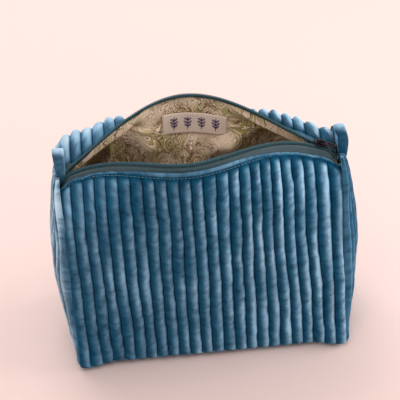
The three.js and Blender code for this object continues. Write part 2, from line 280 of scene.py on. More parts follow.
def mesh_object(name, vertices, faces, material, attributes=None):
    """An object from arrays, its faces turned outwards, shaded smooth."""
    mesh = bpy.data.meshes.new(name)
    mesh.from_pydata([tuple(v) for v in vertices], [], [tuple(int(i) for i in f) for f in faces])
    for key, values in (attributes or {}).items():
        kind = "FLOAT" if values.ndim == 1 else "FLOAT_VECTOR"
        layer = mesh.attributes.new(key, kind, "POINT")
        layer.data.foreach_set("value" if kind == "FLOAT" else "vector", values.astype(np.float32).ravel())
    bm = bmesh.new()
    bm.from_mesh(mesh)
    if bm.calc_volume(signed=True) < 0:
        bmesh.ops.reverse_faces(bm, faces=bm.faces)
    bm.to_mesh(mesh)
    bm.free()
    mesh.shade_smooth()
    mesh.materials.append(material)
    return add_object(name, mesh)


def both_faces(**grids):
    """Attributes of a slab whose outer and inner points share them."""
    flat = {key: grid.reshape(-1, *grid.shape[2:]) for key, grid in grids.items()}
    return {key: np.concatenate([values, values]) for key, values in flat.items()}


def cloth_coordinates(x, z):
    """Where a point lies in the flat cloth, for materials: across, along, and nothing."""
    return np.stack([x, z, 0 * x], axis=-1)


# ---- the two halves of a wall piece
WALLS = {"front": np.array([1, 1, 1]), "back": np.array([1, -1, 1])}


def hang(piece):
    """Bakes the placement of a half of a wall piece into its mesh."""
    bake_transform(piece)


def grid_normals(points):
    """Smooth unit normals of a grid of points."""
    normal = np.cross(np.gradient(points, axis=0), np.gradient(points, axis=1))
    return normal / np.maximum(np.linalg.norm(normal, axis=-1, keepdims=True), 1e-12)


def share_normals(piece, normals, inside):
    """Shades a half with the whole piece's normals, so that no line shows where the halves meet."""
    mesh = piece.data
    own = np.empty(3 * len(mesh.vertices), np.float32)
    mesh.vertex_normals.foreach_get("vector", own)
    own = own.reshape(-1, 3)
    half = len(normals) // 2
    for part in (slice(0, half), slice(half, None)):
        if np.median((own[part] * normals[part]).sum(-1)) < 0:
            normals[part] *= -1
    mesh.normals_split_custom_set_from_vertices(np.where(inside[:, None], normals, own).tolist())


def wall_slab(node, wall, outer, inner, split, material, attributes=None):
    """Builds a slab of the wall as two halves that share the grid column number split."""
    halves = []
    flip = WALLS[wall]
    for half, columns in (("left", slice(0, split + 1)), ("right", slice(split, None))):
        solid = slab(outer[columns] * flip, inner[columns] * flip)
        own = both_faces(**{key: grid[columns] for key, grid in (attributes or {}).items()})
        piece = mesh_object(f"{node}_{half}", *solid, material, own)
        normals = [grid_normals(grid * flip)[columns].reshape(-1, 3) for grid in (outer, inner)]
        inside = np.zeros(outer.shape[:2], bool)
        inside[1:-1, 1:-1] = True
        share_normals(piece, np.concatenate(normals), np.tile(inside[columns].ravel(), 2))
        hang(piece)
        halves.append(piece)
    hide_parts(node)
    return halves


# ---- materials
class Nodes:
    """A short way to write a procedural material."""

    def __init__(self, name):
        self.material = bpy.data.materials.new(name)
        self.material.use_nodes = True
        self.tree = self.material.node_tree
        self.tree.nodes.clear()
        self.shader = self.add("ShaderNodeBsdfPrincipled")
        output = self.add("ShaderNodeOutputMaterial")
        self.tree.links.new(self.shader.outputs[0], output.inputs[0])

    def add(self, kind, **settings):
        node = self.tree.nodes.new(kind)
        for key, value in settings.items():
            setattr(node, key, value)
        return node

    def link(self, value, socket):
        if isinstance(value, bpy.types.NodeSocket):
            self.tree.links.new(value, socket)
        else:
            socket.default_value = value

    def attribute(self, name, vector=False):
        node = self.add("ShaderNodeAttribute", attribute_name=name)
        return node.outputs["Vector" if vector else "Fac"]

    def object_place(self):
        return self.add("ShaderNodeTexCoord").outputs["Object"]

    def along_across(self, vector):
        node = self.add("ShaderNodeSeparateXYZ")
        self.link(vector, node.inputs[0])
        return node.outputs[0], node.outputs[1]

    def wave(self, value, factor):
        return self.math("SINE", self.math("MULTIPLY", value, factor))

    def math(self, operation, a, b=0.0):
        node = self.add("ShaderNodeMath", operation=operation)
        self.link(a, node.inputs[0])
        self.link(b, node.inputs[1])
        return node.outputs[0]

    def scaled(self, vector, factors):
        node = self.add("ShaderNodeVectorMath", operation="MULTIPLY")
        self.link(vector, node.inputs[0])
        node.inputs[1].default_value = factors
        return node.outputs[0]

    def noise(self, vector, scale, detail=3.0, rough=0.55, colour=False):
        node = self.add("ShaderNodeTexNoise")
        self.link(vector, node.inputs["Vector"])
        node.inputs["Scale"].default_value = scale
        node.inputs["Detail"].default_value = detail
        node.inputs["Roughness"].default_value = rough
        return node.outputs["Color" if colour else "Fac"]

    def levels(self, value, low, high):
        node = self.add("ShaderNodeMapRange")
        self.link(value, node.inputs[0])
        node.inputs[1].default_value, node.inputs[2].default_value = low, high
        return node.outputs[0]

    def mix(self, share, a, b, blend="MIX"):
        node = self.add("ShaderNodeMix", data_type="RGBA", blend_type=blend)
        self.link(share, node.inputs[0])
        for value, socket in ((a, node.inputs[6]), (b, node.inputs[7])):
            self.link((*value, 1) if isinstance(value, tuple) else value, socket)
        return node.outputs[2]

    def bump(self, height, distance, strength=1.0):
        node = self.add("ShaderNodeBump")
        node.inputs["Distance"].default_value = distance
        node.inputs["Strength"].default_value = strength
        self.link(height, node.inputs["Height"])
        return node.outputs[0]

    def finish(self, **inputs):
        for key, value in inputs.items():
            socket = self.shader.inputs[key.replace("_", " ")]
            self.link((*value, 1) if isinstance(value, tuple) else value, socket)
        return self.material


def velvet_material(name, sheen):
    n = Nodes(name)
    place = n.attribute("cloth", vector=True)
    crest, painted_light_amount = n.attribute("crest"), n.attribute("nap")
    nap = n.noise(n.scaled(place, (0.8, 1.15, 1)), 150, 4, 0.6)
    crush = n.noise(n.scaled(place, (1, 0.55, 1)), 30, 2)
    pile = n.noise(place, 2400, 2)
    deep, mid, pale = (0.0003, 0.036, 0.084), (0.002, 0.094, 0.180), (0.27, 0.50, 0.70)
    ground = n.mix(n.levels(nap, 0.30, 0.72), deep, mid)
    broken = n.math("ADD", n.levels(nap, 0.20, 0.80), n.levels(crush, 0.25, 0.80))
    # Painted highlight: the velvet is painted towards pale where the painted light attribute is high, broken
    # up by the nap and crush noise.
    painted_highlight = n.math("POWER", n.math("MULTIPLY", n.math("MULTIPLY", painted_light_amount, broken), 0.84), 1.6)
    colour = n.mix(painted_highlight, ground, pale)
    # Painted sheen: a pale frost is painted where the painted light passes 0.95, on the back's shoulders, the
    # tab tops and the left end panel.
    painted_sheen = n.math("MULTIPLY", n.levels(painted_light_amount, 0.95, 2.0), n.levels(nap, 0.15, 0.60))
    colour = n.mix(painted_sheen, colour, (0.66, 0.80, 0.88))
    # Painted shade: the velvet is painted near black where crest is low, in the grooves between channels.
    colour = n.mix(n.levels(crest, 0.36, 0.0), colour, (0.001, 0.024, 0.050))
    height = n.math("ADD", n.math("MULTIPLY", nap, 0.5), n.math("MULTIPLY", pile, 0.5))
    material = n.finish(
        Base_Color=colour,
        Roughness=0.92,
        Normal=n.bump(height, 0.0006, 0.7),
        Sheen_Weight=sheen,
        Sheen_Roughness=0.36,
    )
    n.shader.inputs["Sheen Tint"].default_value = (0.25, 0.62, 0.95, 1) if sheen < 0.5 else (0.85, 0.93, 1, 1)
    n.shader.inputs["Specular IOR Level"].default_value = 0.1
    return material


def lining_material():
    """A small printed pattern: curled shapes with fine brown outlines, and patches of tiny scales."""
    n = Nodes("lining_print")
    place = n.attribute("cloth", vector=True)
    drift = n.noise(place, 60, 3, colour=True)
    warped = n.add("ShaderNodeVectorMath", operation="MULTIPLY_ADD")
    n.link(drift, warped.inputs[0])
    warped.inputs[1].default_value = (0.016, 0.016, 0)
    n.link(place, warped.inputs[2])

    def cells(scale, smoothness):
        node = n.add("ShaderNodeTexVoronoi", feature="SMOOTH_F1")
        n.link(warped.outputs[0], node.inputs["Vector"])
        node.inputs["Scale"].default_value = scale
        node.inputs["Smoothness"].default_value = smoothness
        return node.outputs["Distance"]

    curls, scales = n.wave(cells(84, 0.3), 26), n.wave(cells(380, 0.1), 11)
    patch = n.levels(n.noise(warped.outputs[0], 42, 1), 0.47, 0.53)
    outline = n.levels(n.math("ABSOLUTE", curls), 0.26, 0.08)
    fine = n.math("MULTIPLY", n.levels(scales, 0.1, 0.6), patch)
    wash = n.noise(place, 34, 2)
    ground = n.mix(n.levels(wash, 0.42, 0.58), (0.46, 0.40, 0.14), (0.96, 0.78, 0.56))
    ground = n.mix(n.math("MULTIPLY", n.levels(curls, 0.2, 0.7), 0.85), ground, (0.98, 0.74, 0.62))
    colour = n.mix(n.math("MULTIPLY", fine, 0.8), ground, (0.20, 0.085, 0.045))
    colour = n.mix(n.math("MULTIPLY", outline, 0.95), colour, (0.10, 0.045, 0.018))
    # Painted shade: the print is multiplied towards dark olive where the fold attribute is high, deep in the
    # pouch and in the lining's folds.
    colour = n.mix(n.attribute("fold"), colour, (0.16, 0.12, 0.035), "MULTIPLY")
    weave = n.noise(place, 2200, 1)
    return n.finish(Base_Color=colour, Roughness=0.82, Normal=n.bump(weave, 0.0002, 0.5), Sheen_Weight=0.15)


def tape_material():
    n = Nodes("zip_tape")
    place = n.attribute("cloth", vector=True)
    along, across = n.along_across(place)
    rib = n.wave(across, 2 * math.pi / (0.9 * MM))
    twill = n.wave(n.math("ADD", along, across), 2 * math.pi / (0.8 * MM))
    thread = n.math("ADD", n.math("MULTIPLY", rib, 0.5), n.math("MULTIPLY", twill, 0.35))
    blotch = n.noise(place, 140, 3)
    colour = n.mix(n.levels(blotch, 0.3, 0.7), (0.012, 0.042, 0.055), (0.026, 0.068, 0.082))
    colour = n.mix(n.levels(thread, 0.2, 0.9), colour, (0.055, 0.110, 0.130))
    return n.finish(Base_Color=colour, Roughness=0.78, Normal=n.bump(thread, 0.00012, 0.8), Sheen_Weight=0.3)


def coil_material():
    n = Nodes("zip_coil")
    tone = n.noise(n.object_place(), 300, 2)
    colour = n.mix(tone, (0.012, 0.060, 0.080), (0.035, 0.120, 0.150))
    return n.finish(Base_Color=colour, Roughness=n.levels(tone, -1.2, 1.9), Specular_IOR_Level=0.5)


def metal_material():
    n = Nodes("gunmetal")
    wear = n.noise(n.object_place(), 700, 4)
    colour = n.mix(n.levels(wear, 0.35, 0.7), (0.018, 0.018, 0.022), (0.060, 0.058, 0.066))
    return n.finish(Base_Color=colour, Metallic=1.0, Roughness=n.levels(wear, -0.5, 1.8))


def label_material():
    n = Nodes("label_weave")
    place = n.attribute("cloth", vector=True)
    weft = n.wave(n.along_across(place)[1], 2 * math.pi / (0.45 * MM))
    blotch = n.noise(place, 160, 3)
    colour = n.mix(blotch, (0.96, 0.76, 0.65), (1.0, 0.84, 0.73))
    return n.finish(Base_Color=colour, Roughness=0.6, Normal=n.bump(weft, 0.0001, 0.6), Sheen_Weight=0.2)


def motif_material():
    n = Nodes("label_thread")
    tone = n.noise(n.object_place(), 900, 2)
    return n.finish(Base_Color=n.mix(tone, (0.045, 0.012, 0.085), (0.10, 0.03, 0.17)), Roughness=0.5)


def thread_material():
    n = Nodes("thread")
    ply = n.noise(n.object_place(), 1500, 2)
    return n.finish(Base_Color=n.mix(ply, (0.06, 0.18, 0.26), (0.14, 0.30, 0.40)), Roughness=0.6)


def wadding_material():
    n = Nodes("wadding_fibre")
    fibre = n.noise(n.object_place(), 500, 5)
    colour = n.mix(fibre, (0.72, 0.70, 0.66), (0.88, 0.87, 0.84))
    return n.finish(Base_Color=colour, Roughness=0.95, Normal=n.bump(fibre, 0.0008))


def floor_material():
    n = Nodes("floor")
    grain = n.noise(n.object_place(), 900, 2)
    return n.finish(Base_Color=(0.87, 0.67, 0.625), Roughness=0.75, Normal=n.bump(grain, 0.0002, 0.25))


VELVET, BRUSHED = velvet_material("velvet", 0.2), velvet_material("velvet_brushed_up", 0.9)
LINING, TAPE, COIL = lining_material(), tape_material(), coil_material()
METAL, LABEL, MOTIF, WADDING = metal_material(), label_material(), motif_material(), wadding_material()
THREAD = thread_material()

# ---- velvet walls
RIB_STEPS = np.array([0, 0.045, 0.11, 0.2, 0.32, 0.5, 0.68, 0.8, 0.89, 0.955])


def puff(s):
    """Height of a channel at s, from 0 at one row of stitches to 1 at the next."""
    return np.sin(np.pi * np.clip(s, 0, 1)) ** 0.68


def painted_flank_light(s, below_stitch=1.0, drop=0.0):
    """Painted highlight: how much paler the velvet is painted, little on a channel's left side, most on its
    right, as if lit from the right; above the topstitching, a painted band along the folded edge.
    """
    flank = (0.05 + 0.95 * smooth((s - 0.12) / 0.80)) * smooth((1.0 - s) / 0.12)
    band = 0.62 * np.exp(-(((drop - 1.2 * MM) / (1.4 * MM)) ** 2))
    return flank * below_stitch + band * (1 - below_stitch)


def rib_columns(count):
    """Positions across count ribs, in ribs, closer together next to the stitching."""
    return np.append((np.arange(count)[:, None] + RIB_STEPS).ravel(), count)


def groove_drift(x, z, seed):
    """How far the rows of stitches wander sideways."""
    fade = np.clip((WALL_END - np.abs(x)) / (20 * MM), 0, 1)
    wander = 1.0 * MM * noise(x / (35 * MM), z / (48 * MM), seed)
    wander += 0.5 * MM * noise(x / (9 * MM), z / (22 * MM), seed + 1)
    wander += 0.42 * MM * noise(x / (6 * MM), z / (6.5 * MM), seed + 8)
    lean = -5 * MM * smooth((x - 20 * MM) / (60 * MM)) * smooth((z - 40 * MM) / (90 * MM))
    return fade * (wander + lean)


def roll_under(angles, dents, half_width, z, depth):
    """Outer and inner rows of a velvet panel, the first of them rolled under at the foot."""
    outer_depth, outer_z, shrink = depth.copy(), z.copy(), np.ones_like(z)
    inner_depth, inner_z = PANEL_DEPTH + 0 * z, z.copy()
    faces = ((outer_depth, outer_z, FOOT_ROLL - dents), (inner_depth, inner_z, FOOT_ROLL - PANEL_DEPTH))
    for k, angle in enumerate(angles):
        for depths, heights, radius in faces:
            depths[:, k] = FOOT_ROLL - radius * math.sin(angle)
            heights[:, k] = FOOT_ROLL - radius * math.cos(angle)
        shrink[:, k] = 1 - FOOT_ROLL * (1 - math.sin(angle)) / half_width
    return outer_depth, outer_z, inner_depth, inner_z, shrink


def velvet_wall(wall, seed):
    """A quilted wall: puffed channels, rolled under at the foot and folded in along the zip."""
    across = rib_columns(RIBS)
    body_rows = 1 - (1 - np.linspace(0, 1, 66)) ** 1.25
    roll = np.linspace(0, np.pi / 2, 8)[:-1]
    top_drop = [np.linspace(9, 5.6, 4)[1:], np.linspace(5.2, 3.4, 6), np.linspace(3, 1.6, 4)]
    top_drop = np.concatenate(top_drop)[None] * MM
    fold = np.linspace(0, np.pi, 8)[1:]
    last = len(roll) + len(body_rows) + top_drop.size - 1
    rows = last + 1 + len(fold)
    x0 = (-WALL_END + across * RIB_PITCH)[:, None] * (1 + OVERRUN / WALL_END)
    end_dip = 0.5 * zip_sink(x0)
    reach = FOLD_REACH - end_dip
    low_top, fold_start = below_head(wall, x0, TOP_BAND - reach), below_head(wall, x0, LIP_DROP - reach)
    body_z = FOOT_ROLL + body_rows * (low_top - FOOT_ROLL)
    top_z = below_head(wall, x0, top_drop - reach)
    foot_rows, fold_rows = np.zeros((len(x0), len(roll))), np.zeros((len(x0), len(fold)))
    z = np.concatenate([foot_rows, body_z, top_z, fold_start + fold_rows], 1)
    body_drop = TOP_BAND + (low_top - body_z)
    drop = np.concatenate([foot_rows + 0.15, body_drop, top_drop + 0 * x0, LIP_DROP + fold_rows], 1)
    x = x0 + groove_drift(x0, z, seed)
    s = np.modf(across)[0][:, None]
    rib = np.floor(across)[:, None] + 0 * z

    # how full each channel is
    below_stitch = smooth((drop - TOPSTITCH_DROP) / (6.5 * MM))
    full = 0.4 + 0.6 * below_stitch
    height = puff(s) * (1 + 0.10 * noise(rib * 1.7, z / (40 * MM), seed + 2)) * full
    height = 0.72 + (height - 0.72) * (0.35 + 0.65 * smooth((z - 5 * MM) / (16 * MM)))
    skew = (s - 0.5) * RIB_PITCH
    pucker = noise(rib * 5.3 + 0 * z, (z + 0.7 * skew) / (7 * MM), seed + 3)
    pucker += 0.8 * noise(x / (4.5 * MM), z / (5 * MM), seed + 4)
    depth = CREST * below_stitch + GROOVE * (1 - height) * (0.35 + 0.65 * below_stitch)
    depth += 0.5 * MM * pucker * puff(s) * below_stitch
    depth += 1.8 * MM * noise(x / (55 * MM), z / (60 * MM), seed + 5) * below_stitch * smooth(z / (40 * MM))
    depth += 0.7 * MM * np.exp(-(((drop - TOPSTITCH_DROP) / (0.8 * MM)) ** 2))

    # rows of the foot, which roll under, and of the folded edge, which turns in
    dents = GROOVE * 0.35 * (1 - puff(s)[:, 0])
    outer_depth, outer_z, inner_depth, inner_z, shrink = roll_under(roll, dents, WALL_END, z, depth)
    lip = depth[:, last]
    radius = (PANEL_DEPTH - lip) / 2
    for k, angle in enumerate(fold, start=last + 1):
        outer_depth[:, k] = lip + radius * (1 - math.cos(angle))
        turned = LIP_DROP - reach - radius[:, None] * math.sin(angle)
        outer_z[:, k] = below_head(wall, x0, turned)[:, 0]
    outer = wall_point(wall, x * shrink, outer_z, outer_depth)
    order = 1 - (1 - np.linspace(0, 1, rows - len(roll))) ** 1.25
    inner_top = below_head(wall, x0, 2.4 * MM - reach)
    inner_z[:, len(roll):] = FOOT_ROLL + order * (inner_top - FOOT_ROLL)
    inner = wall_point(wall, x * shrink, inner_z, inner_depth)
    attributes = {
        "cloth": cloth_coordinates(x, z) + np.array([seed * 0.37, 0, 0]),
        # crest drives painted shade: the material paints the velvet darker where it is low, in the grooves.
        "crest": puff(s) * (0.3 + 0.7 * below_stitch) + 0.45 * (1 - below_stitch) * (drop < 3.6 * MM),
        # Painted highlight: paler on each channel's right flank and along the folded edge, and paler towards
        # the right end, as if lit from the right.
        "nap": painted_flank_light(s + 0.05 * noise(rib * 3.1, z / (9 * MM), seed + 6), below_stitch, drop)
        * (0.80 + 0.30 * noise(rib * 2.3, z / (26 * MM), seed + 7) + 0.32 * smooth(x / (110 * MM) + 0.5)),
    }
    # Painted sheen: the back's shoulders are painted frosty pale, as if catching the light.
    if wall == "back":
        at_shoulder = smooth((z / head_height(x0) - 0.74) / 0.12)
        at_shoulder = at_shoulder * smooth((np.abs(x0 - OPENING_CENTRE) - 26 * MM) / (30 * MM))
        at_shoulder = at_shoulder * (1 - 0.7 * smooth((z / head_height(x0) - 0.93) / 0.05))
        attributes["nap"] += at_shoulder * (1.15 + 0.5 * (puff(s) - 1))
    # The wall's end columns get no painted groove shade.
    attributes["crest"][[0, -1]] = 0.4
    split = SPLIT_RIB * len(RIB_STEPS)
    for piece in wall_slab(f"{wall}_panel", wall, outer, inner, split, VELVET, attributes):
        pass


for name, draw in (("front", 11), ("back", 29)):
    velvet_wall(name, draw)


# ---- plain layers of the walls
def layer_columns(count):
    """About count columns along a wall, and the number of the one where its halves meet."""
    left = np.linspace(-WALL_END, SPLIT_X, round(count * SPLIT_RIB / RIBS) + 1)
    right = np.linspace(left[-1], WALL_END, count - len(left) + 2)[1:]
    return np.concatenate([left, right]), len(left) - 1


def wadding_wall(wall):
    x, split = layer_columns(60)
    x = x[:, None]
    z = LAYER_FOOT + np.linspace(0, 1, 30)[None] * (head_height(x) - 22 * MM)
    swell = 0.15 * MM * noise(x / (12 * MM), z / (12 * MM), 5)
    outer = wall_point(wall, x + 0 * z, z, 4.7 * MM + swell)
    inner = wall_point(wall, x + 0 * z, z, 6.8 * MM + swell)
    for piece in wall_slab(f"{wall}_wadding", wall, outer, inner, split, WADDING):
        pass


def lining_wall(wall, seed):
    """The lining: a flat facing along the zip, and below its seam loose cloth that falls in folds."""
    x, split = layer_columns(190)
    x = x[:, None]
    v = np.concatenate([np.linspace(0, 0.9, 92), np.linspace(0.9, 1, 16)[1:]])[None]
    top = below_head(wall, x, 1 * MM)
    z = LAYER_FOOT + v * (top - LAYER_FOOT)
    facing = smooth((v - 0.90) / 0.03)
    ends = smooth((WALL_END - np.abs(x)) / (26 * MM))
    loose = np.clip(np.sin(np.pi * v**1.3), 0, 1) ** 0.7 * ends * (1 - facing)
    folds = noise((x + 0.5 * z) / (34 * MM), (z - 0.3 * x) / (60 * MM), seed)
    folds += 0.55 * noise((x - 0.8 * z) / (15 * MM), (z + 0.4 * x) / (24 * MM), seed + 1)
    ridge = np.clip(1 - 1.5 * np.abs(folds), 0, 1)
    crumple = noise(x / (7 * MM), z / (9 * MM), seed + 2)
    crumple += 0.6 * noise(x / (3.5 * MM), z / (4 * MM), seed + 3)
    above_label = z - zip_height(0) + LABEL_DROP + 10 * MM
    near_label = smooth(1.6 - np.hypot(x / (36 * MM), above_label / (17 * MM)))
    calm = 1 - near_label * (wall == "back")
    depth = LINING_DEPTH + loose * (2 * MM + calm * (14 * MM * ridge**1.4 + 0.7 * MM * crumple))
    depth += 1.1 * MM * np.exp(-(((v - 0.905) / 0.008) ** 2)) * ends - 0.9 * MM * facing
    outer = wall_point(wall, x + 0 * z, z, depth)
    inner = wall_point(wall, x + 0 * z, z, depth + 0.5 * MM)
    sink = zip_sink(x)
    under_slider = 1.5 * MM * smooth((np.abs(x) - 88 * MM) / (7 * MM))
    edge = opened(x, -4.2 * MM + 0 * x, zip_height(x) - 2.6 * MM - under_slider - sink)
    climb = np.linspace(0, 1, 6)[1:, None]

    def climbing(face, thickness):
        """Rows that go on up, under the velvet's fold and the tape, to the coil."""
        stops = [face[:, -1:]]
        for drop, depth in ((-3, 6.6), (-6.2, 5.9)):
            height = below_head(wall, x, drop * MM + 1.2 * sink)
            stops.append(wall_point(wall, x, height, depth * MM + thickness))
        stops.append(edge - [0, 0, thickness])
        parts = [a * (1 - climb) + b * climb for a, b in zip(stops, stops[1:])]
        return np.concatenate([face, *parts], axis=1)

    outer, inner = climbing(outer, 0), climbing(inner, 0.5 * MM)
    z = np.concatenate([z] + [z[:, -1:] + (k + climb.T) * 3.5 * MM for k in range(3)], axis=1)
    # Painted shade for the lining: darker further below the mouth, in the valleys between its folds and at
    # the wall's ends.
    shade_deeper_down = smooth((head_height(x) - z - 28 * MM) / (32 * MM))
    fold = shade_deeper_down * (0.68 + 0.32 * noise((x + z) / (28 * MM), z / (20 * MM), seed + 5))
    fold_valley_shade = np.zeros_like(z)
    fold_valley_shade[:, : ridge.shape[1]] = 0.45 * (loose * calm * (1 - ridge)) * smooth((0.9 - v) / 0.06)
    fold = np.clip(fold + fold_valley_shade + smooth((np.abs(x) - 104 * MM) / (5 * MM)), 0, 1)
    attributes = {"cloth": np.stack([x + 0 * z, z, 0 * z + seed], -1), "fold": fold}
    halves = wall_slab(f"{wall}_lining", wall, outer, inner, split, LINING, attributes)


def tape_section(wall, x):
    """The tape's upper face: points of the opened wall from the coil outwards and down behind velvet."""
    high = zip_height(x)
    sink = zip_sink(x)
    flat = [(-2.6, -0.9), (-3.6, -0.9), (-4.5, -0.8), (-5.4, -0.8), (-6.1, -1.4), (-6.6, -2.4)]
    line = [opened(x, y * MM + 0 * x, high + z * MM - sink) for y, z in flat]
    for drop in (0.8, 3, 6, 9, 12):
        line.append(wall_point(wall, x, below_head(wall, x, drop * MM) - sink, (5.0 - 0.03 * drop) * MM))
    return np.stack(line, axis=1)


def zip_tape(wall):
    x, split = layer_columns(160)
    x = x * (1 + 1.2 * MM / WALL_END)
    section = tape_section(wall, x)
    run = np.gradient(section, axis=1)
    normal = unit(np.cross(run, np.gradient(section, axis=0)))
    normal *= np.sign(-normal[..., 2:])
    under = section + 0.55 * MM * normal
    length = np.concatenate([[0], np.cumsum(np.linalg.norm(np.diff(section[split], axis=0), axis=-1))])
    cloth = cloth_coordinates(x[:, None] + 0 * length, length + 0 * x[:, None])
    halves = wall_slab(f"{wall}_zip_tape", wall, section, under, split, TAPE, {"cloth": cloth})


def half_spans(margin):
    """Each half of a wall's length, but for a margin at the end seams."""
    return ("left", -WALL_END + margin, SPLIT_X), ("right", SPLIT_X, WALL_END - margin)


def zip_coil(wall):
    """The coil as a flattened spiral of filament along the tape's edge, round a filler cord."""
    shift = 0.5 * COIL_PITCH if wall == "back" else 0
    for half, low, high in half_spans(0.6 * MM):
        turns = (high - low) / COIL_PITCH
        t = np.linspace(0, 1, round(turns * 12))
        x = low + t * (high - low)
        turn = 2 * np.pi * (x + shift) / COIL_PITCH
        centre_z = zip_height(x) - zip_sink(x)
        y = COIL_MIDDLE - 1.6 * MM * np.cos(turn)
        z = centre_z + 1.45 * MM * np.sin(turn)
        path = opened(x, y, z) * WALLS[wall]
        filament = tube(path, *section_axes(path, [1.0, 0, 0]), 0.46 * MM, 6)
        x = np.linspace(low, high, 90)
        cord = opened(x, COIL_MIDDLE + 0 * x, zip_height(x) - zip_sink(x)) * WALLS[wall]
        side, up = np.tile([0.0, 1, 0], (90, 1)), np.tile([0.0, 0, 1], (90, 1))
        parts = [filament, tube(cord, side, up, 0.95 * MM, 8)]
        piece = mesh_object(f"{wall}_zip_coil_{half}", *joined(parts), COIL)
        hang(piece)
        if half == "left":
            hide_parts(f"{wall}_zip_coil")


for name, draw in (("front", 41), ("back", 67)):
    zip_tape(name)
    zip_coil(name)
    wadding_wall(name)
    lining_wall(name, draw)


def tubes(name, paths, radius, material):
    """One piece from several short tubes of thread."""
    parts = [tube(path, *section_axes(path, [0.31, 0.83, 0.47]), radius, 5) for path in paths]
    return mesh_object(name, *joined(parts), material)


def topstitches(wall):
    """The visible stitches along the velvet's folded edge."""
    pitch, length = 3.1 * MM, 2.3 * MM
    for half, low, high in half_spans(3 * MM):
        paths = []
        for start in np.arange(low + 0.4 * MM, high - length, pitch):
            t = np.linspace(0, 1, 5)
            x = start + t * length
            drop = TOPSTITCH_DROP - FOLD_REACH + 0.5 * zip_sink(x)
            depth = 1.75 * MM - 0.4 * MM * np.sin(np.pi * t)
            paths.append(wall_point(wall, x, below_head(wall, x, drop), depth) * WALLS[wall])
        piece = tubes(f"{wall}_topstitch_{half}", paths, 0.26 * MM, THREAD)
        hang(piece)


for name in ("front", "back"):
    topstitches(name)


# ---- end panels
def end_half_width(side, up):
    return -outline("front", side * (WALL_END + 2 * MM), up)[0]


def end_bulge(side, y, z):
    up = np.clip(z / HEAD_AT_END, 0, 1)
    share = np.clip(np.abs(y) / end_half_width(side, up), 0, 1)
    return END_BULGE * (1 - share**2) * np.sin(np.pi * up) ** 0.8


def velvet_end(side, sign, seed):
    """A quilted end panel, its channels gathered towards the top."""
    across = rib_columns(END_RIBS)
    pitch = 2 * FOOT_Y / END_RIBS
    roll = np.linspace(0, np.pi / 2, 7)[:-1]
    body = 1 - (1 - np.linspace(0, 1, 60)) ** 1.3
    low_z = np.concatenate([0 * roll, FOOT_ROLL + body * (HEAD_AT_END - FOOT_ROLL)])[None]
    up = low_z / HEAD_AT_END
    share = (across / END_RIBS * 2 - 1)[:, None]
    half = end_half_width(sign, up)
    gather = smooth((up - 0.35) / 0.65)
    y = share * half * (1 - gather) + gather * np.sign(share) * np.abs(share) ** 0.9 * half
    y = y + 0.8 * MM * noise(share * 2.5, low_z / (40 * MM), seed) * (1 - share**2)
    y = y + np.sign(share) * np.abs(share) ** 3 * corner_sag(low_z)
    lifts = [outline(wall, sign * (WALL_END + 2 * MM), up)[1] for wall in ("front", "back")]
    lift = np.where(share < 0, *lifts) - head_height(WALL_END + 2 * MM) * up
    lift = lift + (1 * MM + FOLD_RISE * shoulder_share(sign * WALL_END)) * smooth((up - 0.93) / 0.07)
    lowered = np.where((share > 0) & (side == "left"), 10, 5) * MM  # the left end's back corner lies lower
    lift = lift - lowered * smooth((np.abs(share) - 0.7) / 0.3) * smooth((up - 0.6) / 0.2)
    z = low_z + lift * share**2
    s = np.modf(across)[0][:, None]
    rib = np.floor(across)[:, None]
    edge = np.clip((1 - np.abs(share)) * half / (5 * MM), 0, 1)
    seam = 1 - np.sqrt(np.clip(1 - (1 - edge) ** 2, 0, 1))
    top = smooth((HEAD_AT_END - low_z) / (7 * MM))
    narrow = np.clip(half / FOOT_Y, 0.35, 1)
    height = puff(s) * (0.9 + 0.1 * noise(rib * 1.7, z / (30 * MM), seed + 1)) * (0.3 + 0.7 * top)
    pucker = noise(rib * 5.3 + 0 * z, (z + 0.7 * (s - 0.5) * pitch) / (7 * MM), seed + 2)
    depth = GROOVE * narrow * (1 - height) + 0.4 * MM * pucker * puff(s) + 2.6 * MM * seam
    depth += 1.6 * MM * noise(y / (40 * MM), z / (45 * MM), seed + 3) * edge * smooth(z / (30 * MM))
    dents = GROOVE * (1 - puff(s)[:, 0] * 0.9)
    outer_depth, outer_z, inner_depth, inner_z, shrink = roll_under(roll, dents, FOOT_Y, z, depth)
    bulge = end_bulge(sign, y, low_z + 0 * y)
    point = lambda d, h: np.stack([sign * (END_OUT - d + bulge), y * shrink, h], -1)
    solid = slab(point(outer_depth, outer_z), point(inner_depth, inner_z))
    # Painted shade: crest is low in the grooves and at the seams, where the material paints the velvet
    # darker.
    crest = np.maximum(puff(s), 0.4 * (np.abs(share) > 0.99)) * (1 - 0.3 * seam)
    # Painted sheen on the left end panel: paler on the channels' crests and most at its top corners; the
    # right end panel gets the painted flank highlight.
    left_painted_sheen = 0.28 + 0.75 * puff(s) ** 3 + 0.35 * noise(y / (5 * MM), z / (16 * MM), seed + 4)
    left_painted_sheen = left_painted_sheen + 0.8 * smooth((np.abs(share) - 0.75) / 0.15) * smooth((up - 0.7) / 0.2)
    nap = 0.25 + 0.75 * painted_flank_light(s + 0 * z) if side == "right" else left_painted_sheen
    attributes = both_faces(cloth=cloth_coordinates(y + sign, z), crest=crest, nap=nap)
    velvet = VELVET if side == "right" else BRUSHED
    piece = mesh_object(f"{side}_gusset_cloth", *solid, velvet, attributes)
    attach(piece, "base")
    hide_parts(f"{side}_gusset")


